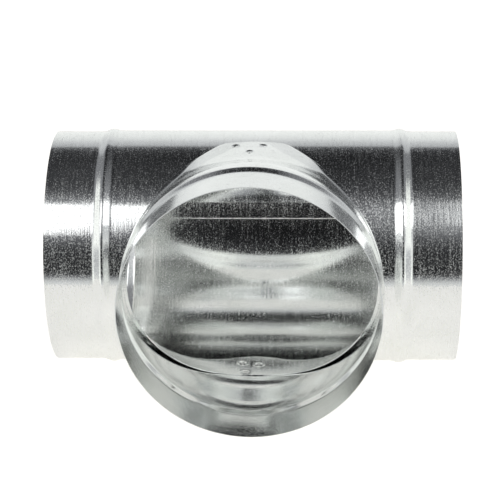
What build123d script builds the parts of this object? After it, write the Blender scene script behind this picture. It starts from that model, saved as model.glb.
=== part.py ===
"""Round duct connector tee of thin galvanized sheet, in millimetres, +Z up.

The run lies along X. The branch leaves it towards -Y. The origin is where the two axes cross.
Each piece is one rolled sheet with a lap seam, and spot welds hold the collar on the run.
"""
import os
from math import cos, pi, sqrt

from build123d import *

# Sheet
sheet = 0.5
lap_gap = 0.05

# Tubes: the run has a male spigot at each end, the branch has one at its mouth
run_radius = 75.0
branch_radius = 80.0
spigot_step = 0.6
run_spigot = 36.0
branch_spigot = 35.0
run_shoulder = 4.5
branch_shoulder = 9.8

# Rolled beads, which stop the duct that is pushed over a spigot
bead_height = 1.25
bead_width = 10.4
bead_crest = 1.2

# Tongues of the run, above and below the hole, which lie inside the collar
tongue_drop = 1.1
tongue_length = 31.0
tongue_edge_radius = 60.0
tongue_edge_half = 22.0
hole_side_step = 2.0

# Collar: its arched back edge, its oval root and the lip that lies on the run
collar_back = 13.5
collar_back_radius = 80.0
collar_back_half = 24.0
collar_margin = 2.0
pinch_steps = 4
lip_width = 3.3
lip_rise = 1.3
lip_notch_depth = 2.9
lip_notch_half = 2.2

# Spot welds: places across and beyond the tongue's start, as shares of the pitch
weld_radius = 2.5
weld_sides = 12
weld_depth = 0.15
weld_pitch = 17.5
top_welds = [(-0.65, 0.48), (0.33, 0.52), (-0.13, 1.31)]
bottom_welds = [(-0.5, 0.71), (0.11, 0.79), (-0.35, 1.53)]

# Lap seams
run_lap_width = 12.0
run_lap_angle = -5.0
branch_lap_start = 1.5
branch_lap_width = 11.0

# Worked out from the sizes above
bead_half = bead_width / 2
run_bead_at = branch_radius + lip_width + run_shoulder + bead_half
run_reach = run_bead_at + run_spigot
branch_bead_at = run_radius + branch_shoulder + bead_half
branch_reach = branch_bead_at + branch_spigot
barrel_start = branch_bead_at - bead_half
collar_inner_width = branch_radius - sheet
tongue_height = min(run_radius - tongue_drop, collar_inner_width - lap_gap)
tongue_start = sqrt(run_radius**2 - tongue_height**2)
tongue_reach = tongue_start + tongue_length
collar_straight = tongue_reach + collar_margin
collar_inner_height = tongue_height + lap_gap
collar_outer_height = collar_inner_height + sheet
hole_half_width = collar_inner_width - hole_side_step
hole_half_height = tongue_height - sheet
saddle_radius = run_radius + lap_gap
tongue_size = (hole_half_width + sheet, tongue_height)
weld_floor_size = (branch_radius - weld_depth, collar_outer_height - weld_depth)
branch_plane = Plane((0, 0, 0), x_dir=(0, -1, 0), z_dir=(0, 0, 1))
run_lap_plane = Plane.XY.rotated((run_lap_angle, 0, 0))


def spigot_points(body, bead_at, reach, inset):
    """Points of a tube's wall from its bead to its end, as distance along the axis and radius."""
    wall = body - inset
    return [
        (bead_at - bead_half, wall),
        (bead_at - bead_crest / 2, wall + bead_height),
        (bead_at + bead_crest / 2, wall + bead_height),
        (bead_at + bead_half, wall - spigot_step),
        (reach, wall - spigot_step),
    ]


def run_wall(inset):
    """The run's wall from end to end."""
    right = spigot_points(run_radius, run_bead_at, run_reach, inset)
    return [(-x, r) for x, r in reversed(right)] + right


def branch_wall(inset):
    """The branch's wall from its bead to its mouth."""
    return spigot_points(branch_radius, branch_bead_at, branch_reach, inset)


def tube_section(wall, plane):
    """Half section of a solid tube, from its axis out to the wall given."""
    start = wall[0][0]
    end = wall[-1][0]
    with BuildSketch(plane) as half:
        with BuildLine():
            Polyline((start, 0), *wall, (end, 0), close=True)
        make_face()
    return half.sketch


def pinch_height(station, inset):
    """Half height of the collar between its oval root at 0 and its round barrel at 1."""
    ease = (1 - cos(pi * station)) / 2
    return collar_outer_height + ease * (branch_radius - collar_outer_height) - inset


def branch_plug(inset):
    """The branch as a solid, from the run's axis to its mouth."""
    with BuildPart() as plug:
        with BuildSketch(Plane.XZ):
            Ellipse(branch_radius - inset, collar_outer_height - inset)
        extrude(amount=collar_straight)
        for station in range(pinch_steps + 1):
            share = station / pinch_steps
            along = collar_straight + share * (barrel_start - collar_straight)
            with BuildSketch(Plane.XZ.offset(along)):
                Ellipse(branch_radius - inset, pinch_height(share, inset))
        loft(ruled=True)
        add(tube_section(branch_wall(inset), branch_plane))
        revolve(axis=Axis.Y)
    return plug.part


def arched_block(apex, radius, half, far):
    """Upright block with one arched side, seen from above, between its straight tails and far."""
    drop = radius - sqrt(radius**2 - half**2)
    with BuildPart() as block:
        with BuildSketch(Plane.XY.offset(-branch_radius)):
            with BuildLine():
                arch = RadiusArc((-half, -apex - drop), (half, -apex - drop), radius)
                right = PolarLine(arch @ 1, 2 * branch_radius, direction=arch % 1)
                left = PolarLine(arch @ 0, 2 * branch_radius, direction=(arch % 0) * -1)
                Polyline(right @ 1, (0, far), left @ 1)
            make_face()
        extrude(amount=2 * branch_radius)
    return block.part


def weld_discs(welds, side, outer_inset, inner_size):
    """Discs at the welds of one side, from inside the collar's outer oval down to a smaller oval."""
    spots = [(x * weld_pitch, -tongue_start - y * weld_pitch) for x, y in welds]
    with BuildPart() as discs:
        with BuildSketch(Plane.XZ):
            Ellipse(branch_radius - outer_inset, collar_outer_height - outer_inset)
            Ellipse(*inner_size, mode=Mode.SUBTRACT)
        extrude(amount=tongue_reach)
        with BuildSketch(Plane.XY):
            with Locations(*spots):
                RegularPolygon(weld_radius, weld_sides)
        extrude(amount=side * branch_radius, mode=Mode.INTERSECT)
    return discs.part


# Run tube: the tongues start as a solid oval that is cut off at their arched edge
with BuildPart() as tongues:
    with BuildSketch(Plane.XZ):
        Ellipse(*tongue_size)
    extrude(amount=run_radius)
    edge = arched_block(tongue_reach, tongue_edge_radius, tongue_edge_half, -3 * run_radius)
    add(edge, mode=Mode.SUBTRACT)
with BuildPart() as run_tube:
    add(tube_section(run_wall(0), Plane.XY))
    revolve(axis=Axis.X)
    add(tongues.part)
    add(tube_section(run_wall(sheet), Plane.XY))
    revolve(axis=Axis.X, mode=Mode.SUBTRACT)
    with BuildSketch(Plane.XZ):
        Ellipse(hole_half_width, hole_half_height)
    extrude(amount=2 * run_radius, mode=Mode.SUBTRACT)
    with BuildSketch(run_lap_plane):
        with BuildLine():
            Polyline(*run_wall(sheet), *reversed(run_wall(2 * sheet)), close=True)
        make_face()
    revolve(axis=Axis.X, revolution_arc=run_lap_width / run_radius * 180 / pi)
run_tube.part.label = "run_tube"

# Branch collar: the core is the room inside its wall, less the inner layer of its lap seam
with BuildPart() as branch_core:
    add(branch_plug(sheet))
    with Locations((0, 0, branch_lap_start)):
        Box(
            2 * branch_radius,
            2 * branch_reach,
            branch_lap_width,
            align=(Align.MIN, Align.MAX, Align.MIN),
            mode=Mode.SUBTRACT,
        )
with BuildPart() as branch_collar:
    with BuildSketch(Plane.XZ):
        Ellipse(branch_radius + lip_width, collar_outer_height + lip_rise)
    extrude(amount=branch_reach)
    Cylinder(saddle_radius + sheet, 2 * run_reach, rotation=(0, 90, 0), mode=Mode.INTERSECT)
    with BuildSketch(Plane.XZ):
        with BuildLine():
            notch_root = (branch_radius + lip_width - lip_notch_depth, branch_lap_start)
            notch_top = (branch_radius + lip_width, branch_lap_start + lip_notch_half)
            notch_bottom = (branch_radius + lip_width, branch_lap_start - lip_notch_half)
            Polyline(notch_root, notch_top, notch_bottom, close=True)
        make_face()
    extrude(amount=branch_reach, mode=Mode.SUBTRACT)
    add(branch_plug(0))
    add(branch_plug(2 * sheet), mode=Mode.SUBTRACT)
    add(branch_core.part, mode=Mode.SUBTRACT)
    Cylinder(saddle_radius, 2 * run_reach, rotation=(0, 90, 0), mode=Mode.SUBTRACT)
    back = arched_block(collar_back, collar_back_radius, collar_back_half, branch_reach)
    add(back, mode=Mode.SUBTRACT)
    for welds, side in ((top_welds, 1), (bottom_welds, -1)):
        add(weld_discs(welds, side, sheet, tongue_size))
        add(weld_discs(welds, side, 0, weld_floor_size), mode=Mode.SUBTRACT)
branch_collar.part.label = "branch_collar"

os.makedirs("parts", exist_ok=True)
for piece in (run_tube, branch_collar):
    export_step(piece.part, f"parts/{piece.part.label}.step")
    print(piece.part.label, len(piece.part.solids()), round(piece.part.volume))
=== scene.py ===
"""The duct tee dressed for its picture: two shells of thin zinc coated sheet on a white table."""
from math import pi, radians

import bmesh
import bpy
import numpy as np
from mathutils import Matrix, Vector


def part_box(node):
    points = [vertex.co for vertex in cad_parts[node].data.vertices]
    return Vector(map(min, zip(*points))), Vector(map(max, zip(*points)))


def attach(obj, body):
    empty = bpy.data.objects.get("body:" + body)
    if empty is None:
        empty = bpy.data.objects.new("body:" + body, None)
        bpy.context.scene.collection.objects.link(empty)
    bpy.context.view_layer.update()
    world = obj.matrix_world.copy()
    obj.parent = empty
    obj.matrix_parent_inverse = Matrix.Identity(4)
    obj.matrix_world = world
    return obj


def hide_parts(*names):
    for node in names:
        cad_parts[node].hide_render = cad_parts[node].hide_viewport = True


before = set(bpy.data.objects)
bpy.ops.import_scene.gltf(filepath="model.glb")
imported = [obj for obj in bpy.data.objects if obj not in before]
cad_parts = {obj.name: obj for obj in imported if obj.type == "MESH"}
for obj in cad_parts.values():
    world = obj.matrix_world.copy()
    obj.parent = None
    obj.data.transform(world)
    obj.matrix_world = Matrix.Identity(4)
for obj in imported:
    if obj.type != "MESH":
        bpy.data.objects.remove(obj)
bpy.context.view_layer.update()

# Sizes in millimetres that the part's source also has
sheet = 0.5
lap_gap = 0.05
spigot_step = 0.6
run_spigot = 36.0
branch_spigot = 35.0
bead_height = 1.25
bead_width = 10.4
bead_crest = 1.2
tongue_drop = 1.1
tongue_length = 31.0
tongue_edge_radius = 60.0
tongue_edge_half = 22.0
hole_side_step = 2.0
collar_back = 13.5
collar_back_radius = 80.0
collar_back_half = 24.0
collar_margin = 2.0
lip_width = 3.3
lip_rise = 1.3
lip_notch_depth = 2.9
lip_notch_half = 2.2
run_lap_angle = -5.0
run_lap_width = 12.0
branch_lap_start = 1.5
branch_lap_width = 11.0
weld_pitch = 17.5
top_welds = [(-0.65, 0.48), (0.33, 0.52), (-0.13, 1.31)]
bottom_welds = [(-0.5, 0.71), (0.11, 0.79), (-0.35, 1.53)]

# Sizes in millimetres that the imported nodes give
tube_high = np.array(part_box("run_tube")[1]) * 1000
collar_low = np.array(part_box("branch_collar")[0]) * 1000
run_reach = tube_high[0]
run_radius = tube_high[2] - bead_height
branch_reach = -collar_low[1]
branch_radius = -collar_low[2] - bead_height
floor_height = collar_low[2]

# Worked out from both
bead_half = bead_width / 2
run_bead_at = run_reach - run_spigot
branch_bead_at = branch_reach - branch_spigot
barrel_start = branch_bead_at - bead_half
tongue_height = run_radius - tongue_drop
tongue_start = (run_radius**2 - tongue_height**2) ** 0.5
tongue_reach = tongue_start + tongue_length
collar_straight = tongue_reach + collar_margin
collar_outer_height = tongue_height + lap_gap + sheet
hole_half_width = branch_radius - sheet - hole_side_step
hole_half_height = tongue_height - sheet
saddle_radius = run_radius + lap_gap
run_lap_from = radians(run_lap_angle - 90)
run_lap_to = run_lap_from + run_lap_width / run_radius

# Forms that only the scene has, in millimetres: soft bead corners and a bend at the lip's foot
bead_soften = 0.8
corner_radius = 1.2

# Near the middle the collar's wall curves into its lip without a corner: fully up to the first
# distance across, not at all from the second on, and over the third along the branch
flush_from = 34.0
flush_to = 46.0
flush_reach = 11.0

# Weld marks, in millimetres: a raised rim round a pit with a stud in its middle. On the inside of
# the run they stand out more, by the factor given last
weld_rim_height = 0.25
weld_rim_radius = 2.9
weld_rim_width = 0.5
weld_pit_depth = 0.55
weld_pit_radius = 2.3
weld_pit_edge = 0.2
weld_stud_height = 0.45
weld_stud_radius = 0.8
weld_relief_inside = 1.5

# Lap seams, in millimetres: the run's inner layer bows off the wall towards its free edge, and
# from a share of its width on it curls back. The branch's seam is a fine groove outside
run_lap_spring = 1.0
run_lap_bow = 0.65
run_lap_curl = 0.06
run_lap_curl_from = 0.92
seam_groove_depth = 0.15
seam_groove_width = 0.25

# How finely the shells are drawn: distances in millimetres, and numbers of rows and columns
soften_steps = 7
bead_rows = 27
bead_clear = 4.0
weld_span = 16.0
weld_spacing = 0.6
lap_edge = 0.1
run_lap_shares = np.array([0, 0.04, 0.08, 0.16, 0.28, 0.4, 0.6, 0.8])
hole_clear = 1.0
lip_clear = 1.5
shoulder_clear = 3.0
hole_rows = 34
run_spigot_rows = 5
back_columns = 112
tongue_columns = 58
mouth_rows = 4
bend_rows = 17
lip_rows = 4
collar_shares = np.concatenate([
    np.linspace(0, 0.65, 19)[1:],
    np.linspace(0.65, 0.97, 39)[1:],
    [0.985, 1],
])
seam_span = 4.0
seam_spacing = 0.25
plain_degrees = np.arange(13, 348, 1.3)

# Limits of the working out: places that count as one, values kept finite, rounds and samples
turn_decimals = 6
merge_metres = 2e-6
station_rounding = 1e-9
least_cosine = 0.1
steepest = 20
settle_rounds = 40
lip_samples = 401
sharp_degrees = 32

# Zinc: noise cells per metre, the tint's two ends, and how much streaks and speckle show
grain_along_lines = 60.0
grain_across_lines = 900.0
speckle_coarse = 1150.0
speckle_fine = 1900.0
cloud_cells = 45.0
cloud_dull = (0.3, (0.84, 0.855, 0.84, 1))
cloud_bright = (0.7, (0.89, 0.9, 0.895, 1))
streak_share = 0.3
noise_low = 0.6
noise_high = 0.84
ridge_metres = 0.0003
pit_metres = 0.0002
pit_share = 0.8

# The table's reach in metres, its paint, and its glow: first in mirrors, then before the camera
table_half_width = 1.6
table_front = -0.29
table_back = 2.2
table_paint = (0.85, 0.84, 0.82, 1)
table_glow = (1, 0.975, 0.94, 1)
table_glow_range = (0.45, 0.75)

# What the metal mirrors of the room: grey levels at angles in degrees from +Z towards -Y
middle_levels = [
    (-180, 0.8), (-100, 1.0), (-78, 0.95), (-66, 0.87), (-60, 0.77), (-54, 0.62), (-46, 0.5),
    (-44, 0.1), (-38, 0.03), (-27, 0.01), (-12, 0.015), (5, 0.02), (22, 0.04), (40, 0.06),
    (56, 0.04), (66, 0.01), (85, 0.005), (100, 0.01), (103, 0.2), (108, 0.7), (122, 0.85),
    (150, 0.85),
]
added_levels = [
    (-45, 0), (-30, 0.02), (12, 0.03), (22, 0.08), (30, 0.3), (38, 0.45), (48, 0.36), (60, 0.2),
    (66, 0.12), (75, 0.04), (98, 0.02), (106, 0),
]
flank_levels = [
    (-180, 0.65), (-60, 0.65), (-45, 0.45), (-41, 0.2), (20, 0.25), (30, 0.5), (60, 0.6),
    (72, 1.0), (84, 1.0), (96, 1.0), (104, 1.2), (120, 1.2), (135, 0.7),
]
far_levels = [
    (-180, 0.62), (-60, 0.62), (-45, 0.5), (-41, 0.25), (-20, 0.25), (-6, 1.1), (70, 1.1),
    (78, 0.6), (90, 0.5), (108, 0.62),
]
grey_red = 0.98
grey_blue = 1.08
grey_blue_loss = 0.1

# How far a direction turns along X where the added, flank and far levels come in
room_centre_shift = 0.02
added_range = (0.0, 0.14)
flank_range = (0.2, 0.4)
far_range = (0.6, 0.68)

# Colour sockets of the mix node
mix_first = 6
mix_second = 7
mix_result = 2


def tube_radius(along, bead_at, body):
    """A tube's outer radius at distances along its axis, its bead's corners a little softened."""
    crest = bead_crest / 2
    corners = [bead_at - bead_half, bead_at - crest, bead_at + crest, bead_at + bead_half]
    radii = [body, body + bead_height, body + bead_height, body - spigot_step]
    shifts = np.linspace(-bead_soften, bead_soften, soften_steps)
    return np.mean([np.interp(along + shift, corners, radii) for shift in shifts], axis=0)


def bead_stations(bead_at):
    """Places along a tube's axis at which its bead gets a row."""
    reach = bead_half + 2 * bead_soften
    return np.linspace(bead_at - reach, bead_at + reach, bead_rows)


def weld_marks(x, y, z):
    """Height of the marks that the welding tips left in the wall, above and below the run."""
    height = np.zeros_like(x)
    for welds, side in ((top_welds, 1), (bottom_welds, -1)):
        for across, beyond in welds:
            away = np.hypot(x - across * weld_pitch, y + tongue_start + beyond * weld_pitch)
            rim = weld_rim_height * np.exp(-(((away - weld_rim_radius) / weld_rim_width) ** 2))
            climb = np.clip((away - weld_pit_radius) / weld_pit_edge, -steepest, steepest)
            pit = weld_pit_depth / (1 + np.exp(climb))
            stud = weld_stud_height * np.exp(-((away / weld_stud_radius) ** 2))
            height += np.where(z * side > 0, rim - pit + stud, 0)
    return height


def oval(x, half_width, half_height):
    """Height at x of an oval about the branch's axis."""
    return half_height * np.sqrt(np.clip(1 - (x / half_width) ** 2, 0, None))


def arched(x, apex, radius, half):
    """Distance in front of the run's axis at which an arched edge with straight tails crosses x."""
    centre = (radius**2 - half**2) ** 0.5
    arc = radius - np.sqrt(np.clip(radius**2 - x**2, centre**2, None))
    return apex + arc + np.clip(abs(x) - half, 0, None) * half / centre


def shell(name, outer, inner, open_rows, outside, inside):
    """A closed mesh between two grids of points in millimetres, with its rows first.

    Columns run round the tube. In the open rows, where the first and last columns lie apart, the
    gap between the two grids is closed along both. The inner grid's faces get the material inside,
    and all others get outside.
    """
    rows, columns = outer.shape[:2]
    points = np.concatenate([outer.reshape(-1, 3), inner.reshape(-1, 3)]) / 1000
    front = np.arange(rows * columns).reshape(rows, columns)
    back = front + rows * columns

    def quads(*corners):
        return np.stack([corner.ravel() for corner in corners], axis=1)

    faces = [
        quads(front[:-1, :-1], front[1:, :-1], front[1:, 1:], front[:-1, 1:]),
        quads(back[:-1, 1:], back[1:, 1:], back[1:, :-1], back[:-1, :-1]),
        quads(front[0, 1:], back[0, 1:], back[0, :-1], front[0, :-1]),
        quads(front[-1, :-1], back[-1, :-1], back[-1, 1:], front[-1, 1:]),
    ]
    here = open_rows[:-1]
    after = open_rows[1:]
    faces.append(quads(front[after, 0], front[here, 0], back[here, 0], back[after, 0]))
    faces.append(quads(front[here, -1], front[after, -1], back[after, -1], back[here, -1]))
    mesh = bpy.data.meshes.new(name)
    mesh.from_pydata(points.tolist(), [], np.concatenate(faces).tolist())
    mesh.materials.append(outside)
    mesh.materials.append(inside)
    looks = np.zeros(len(mesh.polygons), dtype=np.int32)
    looks[len(faces[0]):2 * len(faces[0])] = 1
    mesh.polygons.foreach_set("material_index", looks)
    work = bmesh.new()
    work.from_mesh(mesh)
    bmesh.ops.remove_doubles(work, verts=work.verts, dist=merge_metres)
    bmesh.ops.recalc_face_normals(work, faces=work.faces)
    work.to_mesh(mesh)
    work.free()
    mesh.shade_smooth()
    mesh.set_sharp_from_angle(angle=radians(sharp_degrees))
    piece = bpy.data.objects.new(name, mesh)
    bpy.context.scene.collection.objects.link(piece)
    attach(piece, "root")
    return piece


def run_front(x, wall, inset):
    """Where the run's section at x ends on the hole.

    Gives that end's angle from +Z, and the height at which the section is flattened into a tongue,
    or 0 where it isn't.
    """
    tongue = oval(x, hole_half_width + sheet - inset, tongue_height - inset)
    edge = arched(x, tongue_reach, tongue_edge_radius, tongue_edge_half)
    if abs(x) >= hole_half_width:
        return pi / 2, 0.0
    if tongue**2 + edge**2 > wall**2:
        return np.arctan2(edge, tongue), tongue
    return np.arccos(oval(x, hole_half_width, hole_half_height) / wall), 0.0


def run_section(x, inset, back_angles):
    """The run's section at x, from the hole's upper edge round the back to its lower edge.

    Angles are measured from +Z towards -Y.
    """
    wall = tube_radius(abs(x), run_bead_at, run_radius) - inset
    edge, flat = run_front(x, wall, inset)
    upper = np.linspace(edge, 0, tongue_columns)
    angles = np.concatenate([upper, back_angles, -pi - upper[::-1]])
    radius = np.maximum(wall, flat / np.maximum(abs(np.cos(angles)), least_cosine))
    radius[tongue_columns:-tongue_columns] = wall
    if inset:
        on_lap = (angles > run_lap_from) & (angles < run_lap_to)
        down = 1 - (angles - run_lap_from) * run_radius / run_lap_width
        spring = run_lap_spring * down * (1 + run_lap_bow - run_lap_bow * down)
        curl = np.clip((down - run_lap_curl_from) / (1 - run_lap_curl_from), 0, 1)
        radius -= np.where(on_lap, sheet + spring - run_lap_curl * curl, 0)
    across = np.full_like(angles, x)
    y = -radius * np.sin(angles)
    z = radius * np.cos(angles)
    if inset:
        z = z - weld_relief_inside * np.sign(z) * weld_marks(across, y, z)
    return np.stack([across, y, z], axis=1)


def run_stations():
    """Places along X at which the run gets a row, closest at the welds and the beads."""
    welds = np.arange(weld_spacing / 2, weld_span, weld_spacing)
    hole = hole_half_width * np.sin(np.linspace(0, pi / 2, hole_rows))
    beside = [
        hole_half_width + hole_clear,
        branch_radius + lip_clear,
        run_bead_at - bead_half - shoulder_clear,
    ]
    bead = bead_stations(run_bead_at)
    spigot = np.linspace(run_bead_at + bead_half + bead_clear, run_reach, run_spigot_rows)
    half = np.concatenate([welds, hole[hole > weld_span], beside, bead, spigot])
    return np.concatenate([-half[::-1], half])


def run_back_angles():
    """Angles from +Z, through the back to -Z, at which the run gets a column."""
    step = lap_edge / run_radius
    even = np.linspace(0, -pi, back_columns)[1:-1]
    even = even[(even < run_lap_from - 2 * step) | (even > run_lap_to + 2 * step)]
    edges = [run_lap_from - step, run_lap_to - step, run_lap_to + step]
    on_lap = run_lap_from + step + (run_lap_to - run_lap_from) * run_lap_shares
    return np.sort(np.concatenate([even, edges, on_lap]))[::-1]


def build_run(outside, inside):
    """The straight tube with its hole and its two flattened tongues."""
    stations = run_stations()
    back = run_back_angles()
    outer = np.array([run_section(x, 0.0, back) for x in stations])
    inner = np.array([run_section(x, sheet, back) for x in stations])
    open_rows = np.flatnonzero(abs(stations) <= hole_half_width + station_rounding)
    piece = shell("run_sheet", outer, inner, open_rows, outside, inside)
    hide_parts("run_tube")


def collar_half_sizes(along, inset):
    """Half width and half height of the branch at distances along its axis."""
    width = tube_radius(along, branch_bead_at, branch_radius) - inset
    station = np.clip((along - collar_straight) / (barrel_start - collar_straight), 0, 1)
    pinch = (branch_radius - collar_outer_height) * (1 + np.cos(pi * station)) / 2
    return width, width - pinch


def collar_arch(x):
    """Distance in front of the run's axis at which the collar's back edge crosses x."""
    return arched(x, collar_back, collar_back_radius, collar_back_half)


def collar_end(turn, radius, inset):
    """Distance along the branch at which its wall meets the run or its own back edge."""
    along = np.full_like(turn, run_radius)
    for _ in range(settle_rounds):
        width, height = collar_half_sizes(along, inset)
        on_run = np.sqrt(np.clip(radius**2 - (height * np.cos(turn)) ** 2, 0, None))
        along = (along + np.maximum(on_run, collar_arch(width * np.sin(turn)))) / 2
    return along


def lip_line(turn, foot, radius, share):
    """Across, along and up at a share of the way from the wall's foot to the full lip's edge."""
    x = foot[0] + share * ((branch_radius + lip_width) * np.sin(turn) - foot[0])
    z = foot[1] + share * ((collar_outer_height + lip_rise) * np.cos(turn) - foot[1])
    along = np.sqrt(np.clip(radius**2 - z**2, 0, None))
    return x, along, z


def collar_lip(turn, foot, radius):
    """How much of the lip is there at each turn, from 0 to 1, before its back edge or its notch."""
    share = np.linspace(0, 1, lip_samples)[:, None]
    x, along, z = lip_line(turn, foot, radius, share)
    fits = (along > collar_arch(x)) & (abs(z) < radius)
    full = np.where(fits.all(axis=0), 1.0, share[np.argmin(fits, axis=0), 0])
    root = 1 - lip_notch_depth / lip_width
    notch = root + (1 - root) * abs(z[-1] - branch_lap_start) / lip_notch_half
    return np.minimum(full, np.where(np.sin(turn) > 0, np.clip(notch, 0, 1), 1))


def collar_wall(turn, along, inset):
    """Points of the branch's wall at distances along its axis, with the lap seam on its right."""
    width, height = collar_half_sizes(along, inset)
    x = width * np.sin(turn)
    z = height * np.cos(turn)
    past = z - branch_lap_start
    if inset:
        x = x - sheet * ((past > 0) & (z < branch_lap_start + branch_lap_width) & (x > 0))
    else:
        x = x - seam_groove_depth * np.exp(-((past / seam_groove_width) ** 2)) * (x > 0)
    return np.stack([x, -along, z], axis=2)


def collar_grid(turn, inset):
    """Rows of points from the branch's mouth to the end of its lip. Turns go from +Z towards +X."""
    radius = saddle_radius + sheet - inset
    end = collar_end(turn, radius, inset)
    width, height = collar_half_sizes(end, inset)
    foot = (width * np.sin(turn), height * np.cos(turn))
    lip = collar_lip(turn, foot, radius)
    bend = np.minimum(corner_radius - inset, lip * lip_width / 2)
    flush = np.clip((flush_to - abs(foot[0])) / (flush_to - flush_from), 0, 1)
    flush = flush**2 * (3 - 2 * flush)
    onto_lip = (1 - flush) * bend / lip_width + flush * lip
    if not inset:
        bend = bend + flush * (flush_reach * lip - bend)

    mouth = np.linspace(branch_reach, branch_bead_at + bead_half + bead_clear, mouth_rows)
    bead = bead_stations(branch_bead_at)[::-1]
    fixed = np.concatenate([mouth, bead])[:, None] * np.ones_like(turn)
    barrel = bead[-1] + collar_shares[:, None] * (end + bend - bead[-1])
    wall = collar_wall(turn, np.concatenate([fixed, barrel]), inset)

    def on_lip(share):
        x, along, z = lip_line(turn, foot, radius, share)
        along = np.maximum(along, collar_arch(x) * (lip < 1))
        return np.stack([x, -along, z], axis=1)

    start = wall[-1]
    corner = on_lip(np.zeros_like(turn))
    after = on_lip(onto_lip)
    corner = corner + flush[:, None] * ((start + after) / 2 - corner)
    rows = [wall]
    for share in np.linspace(0, 1, bend_rows + 2)[1:-1]:
        curve = (1 - share) ** 2 * start + 2 * share * (1 - share) * corner + share**2 * after
        rows.append(curve[None])
    for share in np.linspace(0, 1, lip_rows):
        rows.append(on_lip(onto_lip + share * (lip - onto_lip))[None])
    grid = np.concatenate(rows)
    if not inset:
        grid[..., 2] += np.sign(grid[..., 2]) * weld_marks(*np.moveaxis(grid, 2, 0))
    return grid


def collar_turns():
    """Angles from +Z towards +X at which the branch gets a column, closest at welds and seam."""
    welds = np.arange(-weld_span, weld_span, weld_spacing) / branch_radius
    edges = np.array([-lap_edge, lap_edge])
    seam = np.arange(branch_lap_start - seam_span, branch_lap_start + seam_span, seam_spacing)
    heights = [seam, branch_lap_start + branch_lap_width + edges, branch_lap_start + edges]
    side = np.arccos(np.concatenate(heights) / branch_radius)
    plain = np.radians(plain_degrees)
    plain = plain[abs(plain - pi) > weld_span / branch_radius]
    turn = np.concatenate([welds[welds > 0], side, plain, welds + pi, welds[welds <= 0] + 2 * pi])
    turn = np.unique(np.round(turn, turn_decimals))
    return np.concatenate([[turn[-1] - 2 * pi], turn])


def build_collar(outside, inside):
    """The branch: mouth, bead, round barrel, oval root and the lip that lies on the run."""
    turn = collar_turns()
    outer = collar_grid(turn, 0.0)
    inner = collar_grid(turn, sheet)
    piece = shell("branch_sheet", outer, inner, np.array([0]), outside, inside)
    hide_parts("branch_collar")


def node(tree, kind, **values):
    """A shader node with its settings and the values of its named inputs."""
    made = tree.nodes.new(kind)
    for key, value in values.items():
        if key in made.inputs.keys():
            made.inputs[key].default_value = value
        else:
            setattr(made, key, value)
    return made


def maths(tree, operation, second):
    """A maths node whose second input is a fixed number."""
    made = node(tree, "ShaderNodeMath", operation=operation)
    made.inputs[1].default_value = second
    return made


def ranged(tree, source, target=(0, 1), **values):
    """A node that takes the numbers of one range onto those of another."""
    made = node(tree, "ShaderNodeMapRange", **values)
    made.inputs["From Min"].default_value = source[0]
    made.inputs["From Max"].default_value = source[1]
    made.inputs["To Min"].default_value = target[0]
    made.inputs["To Max"].default_value = target[1]
    return made


def zinc(name, axis, haze, dull, relief):
    """Zinc coated sheet with a rolled grain, fine spangles and a little cloud.

    The grain's lines lie side by side along the axis. Haze and dull are the ends of the roughness,
    and relief is how strongly the grain and the spangles stand out.
    """
    grain = np.full(3, grain_along_lines)
    grain[axis] = grain_across_lines
    spangle = np.full(3, speckle_coarse)
    spangle[axis] = speckle_fine
    material = bpy.data.materials.new(name)
    material.use_nodes = True
    tree = material.node_tree
    link = tree.links.new
    shader = tree.nodes["Principled BSDF"]
    shader.inputs["Metallic"].default_value = 1.0

    place = node(tree, "ShaderNodeTexCoord")
    stretch = node(tree, "ShaderNodeMapping", Scale=grain)
    scatter = node(tree, "ShaderNodeMapping", Scale=spangle)
    streaks = node(tree, "ShaderNodeTexNoise", Scale=1.0, Detail=3.0)
    speckle = node(tree, "ShaderNodeTexNoise", Scale=1.0, Detail=3.0)
    cloud = node(tree, "ShaderNodeTexNoise", Scale=cloud_cells, Detail=4.0)
    link(place.outputs["Object"], stretch.inputs["Vector"])
    link(place.outputs["Object"], scatter.inputs["Vector"])
    link(place.outputs["Object"], cloud.inputs["Vector"])
    link(stretch.outputs["Vector"], streaks.inputs["Vector"])
    link(scatter.outputs["Vector"], speckle.inputs["Vector"])

    tint = node(tree, "ShaderNodeValToRGB")
    for mark, (position, colour) in zip(tint.color_ramp.elements, (cloud_dull, cloud_bright)):
        mark.position = position
        mark.color = colour
    link(cloud.outputs["Fac"], tint.inputs["Fac"])
    link(tint.outputs["Color"], shader.inputs["Base Color"])

    both = maths(tree, "MULTIPLY_ADD", streak_share)
    rough = ranged(tree, (noise_low, noise_high), (haze, dull))
    link(streaks.outputs["Fac"], both.inputs[0])
    link(speckle.outputs["Fac"], both.inputs[2])
    link(both.outputs["Value"], rough.inputs["Value"])
    link(rough.outputs["Result"], shader.inputs["Roughness"])

    ridges = node(tree, "ShaderNodeBump", Strength=relief, Distance=ridge_metres)
    pits = node(tree, "ShaderNodeBump", Strength=pit_share * relief, Distance=pit_metres)
    link(streaks.outputs["Fac"], ridges.inputs["Height"])
    link(speckle.outputs["Fac"], pits.inputs["Height"])
    link(ridges.outputs["Normal"], pits.inputs["Normal"])
    link(pits.outputs["Normal"], shader.inputs["Normal"])
    return material


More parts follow.
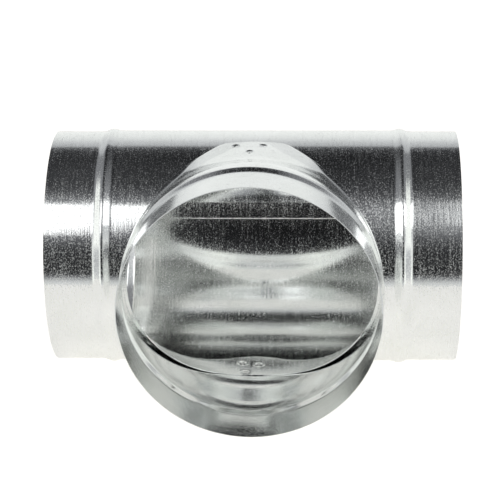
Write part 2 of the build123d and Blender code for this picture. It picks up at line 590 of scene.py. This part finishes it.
def table():
    """A white table that keeps the shadow and ends a little in front of the tee."""
    height = floor_height / 1000
    corners = [
        (-table_half_width, table_front, height),
        (table_half_width, table_front, height),
        (table_half_width, table_back, height),
        (-table_half_width, table_back, height),
    ]
    mesh = bpy.data.meshes.new("table")
    mesh.from_pydata(corners, [], [(0, 1, 2, 3)])
    top = bpy.data.objects.new("table", mesh)
    bpy.context.scene.collection.objects.link(top)
    material = bpy.data.materials.new("white_table")
    material.use_nodes = True
    tree = material.node_tree
    link = tree.links.new
    tree.nodes.remove(tree.nodes["Principled BSDF"])
    paint = node(tree, "ShaderNodeBsdfDiffuse", Color=table_paint)
    path = node(tree, "ShaderNodeLightPath")
    glow = node(tree, "ShaderNodeEmission", Color=table_glow)
    strength = ranged(tree, (0, 1), table_glow_range)
    both = node(tree, "ShaderNodeAddShader")
    link(path.outputs["Is Camera Ray"], strength.inputs["Value"])
    link(strength.outputs["Result"], glow.inputs["Strength"])
    link(paint.outputs["BSDF"], both.inputs[0])
    link(glow.outputs["Emission"], both.inputs[1])
    link(both.outputs["Shader"], tree.nodes["Material Output"].inputs["Surface"])
    mesh.materials.append(material)


def softbox(name, turn, across, roll, width, height, distance, radiance):
    """A soft rectangular lamp.

    Turn is its angle in degrees from +Z towards -Y, and roll its turn in its own plane.
    """
    lamp = bpy.data.lights.new(name, "AREA")
    lamp.shape = "RECTANGLE"
    lamp.size = width
    lamp.size_y = height
    lamp.energy = radiance * pi * width * height
    holder = bpy.data.objects.new(name, lamp)
    bpy.context.scene.collection.objects.link(holder)
    to_place = Matrix.Rotation(radians(turn), 4, "X") @ Matrix.Translation((across, 0, distance))
    holder.matrix_world = to_place @ Matrix.Rotation(radians(roll), 4, "Z")


def grey_ramp(tree, angle, levels):
    """The grey at an angle output, which runs from 0 to 1 over the full turn from straight down.

    Dark greys are a little bluer than light ones.
    """
    made = node(tree, "ShaderNodeValToRGB")
    marks = made.color_ramp.elements
    while len(marks) < len(levels):
        marks.new(0.5)
    for mark, (degrees, value) in zip(marks, levels):
        mark.position = (degrees + 180) / 360
        mark.color = (value * grey_red, value, value * (grey_blue - grey_blue_loss * value), 1)
    tree.links.new(angle, made.inputs["Fac"])
    return made.outputs["Color"]


def side_share(tree, width, source):
    """A smooth share from 0 to 1 as a direction's width goes through a range."""
    made = ranged(tree, source, interpolation_type="SMOOTHSTEP")
    tree.links.new(width, made.inputs["Value"])
    return made.outputs["Result"]


def mixed(tree, factor, first, second):
    """The mix of two colour outputs by a factor output."""
    made = node(tree, "ShaderNodeMix", data_type="RGBA")
    tree.links.new(factor, made.inputs["Factor"])
    tree.links.new(first, made.inputs[mix_first])
    tree.links.new(second, made.inputs[mix_second])
    return made.outputs[mix_result]


def room():
    """What the metal mirrors beyond the table: a pale wall behind, a dark ceiling, a dim room ahead.

    The camera itself sees plain white.
    """
    world = bpy.data.worlds.new("room")
    bpy.context.scene.world = world
    world.use_nodes = True
    tree = world.node_tree
    link = tree.links.new

    # A direction's angle round the run's axis, and how far it turns along that axis
    place = node(tree, "ShaderNodeTexCoord")
    parts = node(tree, "ShaderNodeSeparateXYZ")
    ahead = maths(tree, "MULTIPLY", -1)
    arc = node(tree, "ShaderNodeMath", operation="ARCTAN2")
    turn = ranged(tree, (-pi, pi))
    shifted = maths(tree, "ADD", room_centre_shift)
    aside = node(tree, "ShaderNodeMath", operation="ABSOLUTE")
    link(place.outputs["Generated"], parts.inputs["Vector"])
    link(parts.outputs["Y"], ahead.inputs[0])
    link(ahead.outputs["Value"], arc.inputs[0])
    link(parts.outputs["Z"], arc.inputs[1])
    link(arc.outputs["Value"], turn.inputs["Value"])
    link(parts.outputs["X"], shifted.inputs[0])
    link(shifted.outputs["Value"], aside.inputs[0])
    angle = turn.outputs["Result"]
    width = aside.outputs["Value"]

    # The middle of the room with what is added towards its sides, then its flanks and its ends
    total = node(tree, "ShaderNodeVectorMath", operation="MULTIPLY_ADD")
    link(grey_ramp(tree, angle, added_levels), total.inputs[0])
    link(side_share(tree, width, added_range), total.inputs[1])
    link(grey_ramp(tree, angle, middle_levels), total.inputs[2])
    flank = grey_ramp(tree, angle, flank_levels)
    far = grey_ramp(tree, angle, far_levels)
    wide = mixed(tree, side_share(tree, width, flank_range), total.outputs["Vector"], flank)
    whole = mixed(tree, side_share(tree, width, far_range), wide, far)

    path = node(tree, "ShaderNodeLightPath")
    white = node(tree, "ShaderNodeMix", data_type="RGBA")
    white.inputs[mix_second].default_value = (1, 1, 1, 1)
    link(path.outputs["Is Camera Ray"], white.inputs["Factor"])
    link(whole, white.inputs[mix_first])
    link(white.outputs[mix_result], tree.nodes["Background"].inputs["Color"])


def camera():
    """The photograph's camera, from a fit to the tee's outline. Lengths are in metres."""
    azimuth = 2.454
    elevation = 19.546
    roll = -0.655
    distance = 1.20026
    aim_right = -0.00422
    aim_up = -0.00312
    focal_pixels = 1833.7
    picture_pixels = 500
    lens = bpy.data.cameras.new("camera")
    lens.sensor_width = 36.0
    lens.lens = focal_pixels * lens.sensor_width / picture_pixels
    holder = bpy.data.objects.new("camera", lens)
    bpy.context.scene.collection.objects.link(holder)
    level = Matrix.Rotation(radians(azimuth), 4, "Z")
    tilt = Matrix.Rotation(radians(90 - elevation), 4, "X")
    shift = Matrix.Translation((aim_right, aim_up, distance))
    holder.matrix_world = level @ tilt @ shift @ Matrix.Rotation(radians(roll), 4, "Z")
    bpy.context.scene.camera = holder


along_x, along_y = 0, 1
build_run(
    outside=zinc("zinc_run", along_x, haze=0.04, dull=0.44, relief=0.12),
    inside=zinc("zinc_run_inside", along_x, haze=0.05, dull=0.3, relief=0.07),
)
build_collar(
    outside=zinc("zinc_branch", along_y, haze=0.045, dull=0.42, relief=0.08),
    inside=zinc("zinc_branch_inside", along_y, haze=0.03, dull=0.26, relief=0.05),
)
table()
softbox("softbox_left", turn=43.5, across=-0.58, roll=-20, width=0.8, height=0.8,
        distance=1.5, radiance=1.3)
softbox("softbox_right", turn=39, across=0.8, roll=0, width=1.05, height=0.66,
        distance=1.5, radiance=1.2)
room()
camera()
bpy.context.scene.view_settings.view_transform = "Standard"
